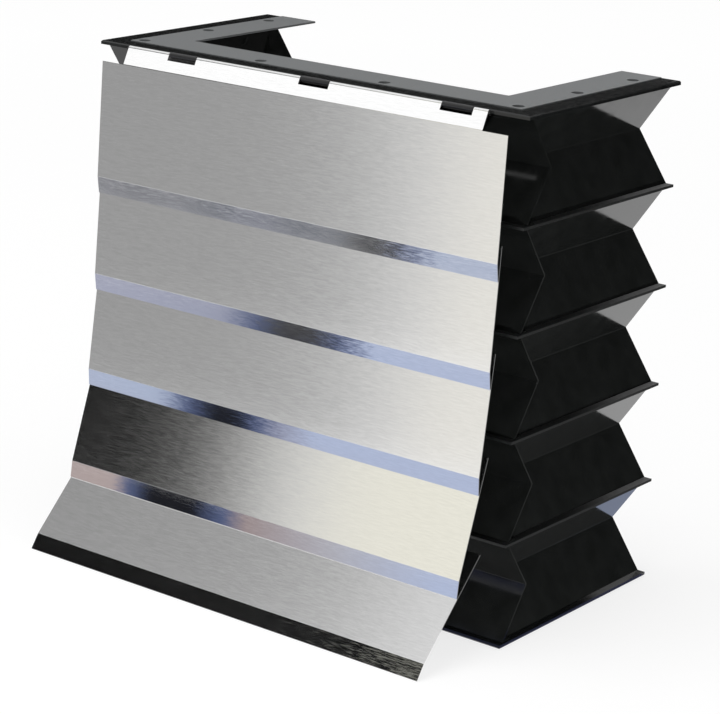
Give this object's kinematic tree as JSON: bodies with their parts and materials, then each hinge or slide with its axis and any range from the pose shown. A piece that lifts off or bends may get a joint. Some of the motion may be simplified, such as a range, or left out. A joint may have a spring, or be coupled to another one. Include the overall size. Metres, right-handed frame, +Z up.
{
  "type": "bellows way cover",
  "caption": "U-shaped bellows way cover: folded cloth on stiffening frames between bolted end plates, with hinged steel slats along the front.",
  "frame": {"origin": "centre of the upper plate's rectangle of bolt holes, on the plate's outer face", "axes": "+Z up out of the upper plate, +X along the front, +Y back into the open side of the U"},
  "size_m": [0.4, 0.2864, 0.394],
  "materials": {
    "mounting_plate": "dark grey anodised",
    "frame_plastic": "smooth black, semi-gloss",
    "folded_cloth": "coated cloth, smooth black",
    "slat_steel": "brushed along the slat",
    "rod_steel": "drawn wire",
    "clip_plastic": "black, moulded"
  },
  "bodies": {
    "upper_end": {"top_plate": "mounting_plate", "top_frame": "frame_plastic", "hinge_clips_1": "clip_plastic", "fold_1": "folded_cloth"},
    "level_1": {"stiffening_frame_1": "frame_plastic", "hinge_clips_2": "clip_plastic", "fold_2": "folded_cloth"},
    "level_2": {"stiffening_frame_2": "frame_plastic", "hinge_clips_3": "clip_plastic", "fold_3": "folded_cloth"},
    "level_3": {"stiffening_frame_3": "frame_plastic", "hinge_clips_4": "clip_plastic", "fold_4": "folded_cloth"},
    "level_4": {"stiffening_frame_4": "frame_plastic", "hinge_clips_5": "clip_plastic", "fold_5": "folded_cloth"},
    "lower_end": {"bottom_frame": "frame_plastic", "bottom_plate": "mounting_plate"},
    "leaf_1": {"slat_1": "slat_steel", "hinge_rod_1": "rod_steel"},
    "leaf_2": {"slat_2": "slat_steel", "hinge_rod_2": "rod_steel"},
    "leaf_3": {"slat_3": "slat_steel", "hinge_rod_3": "rod_steel"},
    "leaf_4": {"slat_4": "slat_steel", "hinge_rod_4": "rod_steel"},
    "leaf_5": {"slat_5": "slat_steel", "hinge_rod_5": "rod_steel"}
  },
  "joints": [
    {"name": "fold_1_travel", "type": "slide", "parent": "upper_end", "child": "level_1", "axis": [0, 0, 1], "range_m": [0, 0.062], "deforming": ["fold_1"]},
    {"name": "fold_2_travel", "type": "slide", "parent": "level_1", "child": "level_2", "axis": [0, 0, 1], "range_m": [0, 0.062], "deforming": ["fold_2"]},
    {"name": "fold_3_travel", "type": "slide", "parent": "level_2", "child": "level_3", "axis": [0, 0, 1], "range_m": [0, 0.062], "deforming": ["fold_3"]},
    {"name": "fold_4_travel", "type": "slide", "parent": "level_3", "child": "level_4", "axis": [0, 0, 1], "range_m": [0, 0.062], "deforming": ["fold_4"]},
    {"name": "fold_5_travel", "type": "slide", "parent": "level_4", "child": "lower_end", "axis": [0, 0, 1], "range_m": [0, 0.062], "deforming": ["fold_5"]},
    {"name": "slat_1_swing", "type": "hinge", "parent": "upper_end", "child": "leaf_1", "pos_m": [0, -0.09955, -0.002], "axis": [-1, 0, 0], "range_deg": [0, 61.99]},
    {"name": "slat_2_swing", "type": "hinge", "parent": "level_1", "child": "leaf_2", "pos_m": [0, -0.09955, -0.08], "axis": [-1, 0, 0], "range_deg": [0, 66.33]},
    {"name": "slat_3_swing", "type": "hinge", "parent": "level_2", "child": "leaf_3", "pos_m": [0, -0.09955, -0.158], "axis": [-1, 0, 0], "range_deg": [0, 68.21]},
    {"name": "slat_4_swing", "type": "hinge", "parent": "level_3", "child": "leaf_4", "pos_m": [0, -0.09955, -0.236], "axis": [-1, 0, 0], "range_deg": [0, 63.13]},
    {"name": "slat_5_swing", "type": "hinge", "parent": "level_4", "child": "leaf_5", "pos_m": [0, -0.09955, -0.314], "axis": [-1, 0, 0], "range_deg": [0, 42.42]}
  ],
  "couplings": [
    {"joint": "fold_2_travel", "follows": "fold_1_travel", "ratio": 1},
    {"joint": "fold_3_travel", "follows": "fold_1_travel", "ratio": 1},
    {"joint": "fold_4_travel", "follows": "fold_1_travel", "ratio": 1},
    {"joint": "fold_5_travel", "follows": "fold_1_travel", "ratio": 1},
    {"joint": "slat_1_swing", "follows": "fold_1_travel", "rad_per_m": 17.45},
    {"joint": "slat_2_swing", "follows": "fold_1_travel", "rad_per_m": 18.67},
    {"joint": "slat_3_swing", "follows": "fold_1_travel", "rad_per_m": 19.2},
    {"joint": "slat_4_swing", "follows": "fold_1_travel", "rad_per_m": 17.77},
    {"joint": "slat_5_swing", "follows": "fold_1_travel", "rad_per_m": 11.94}
  ]
}
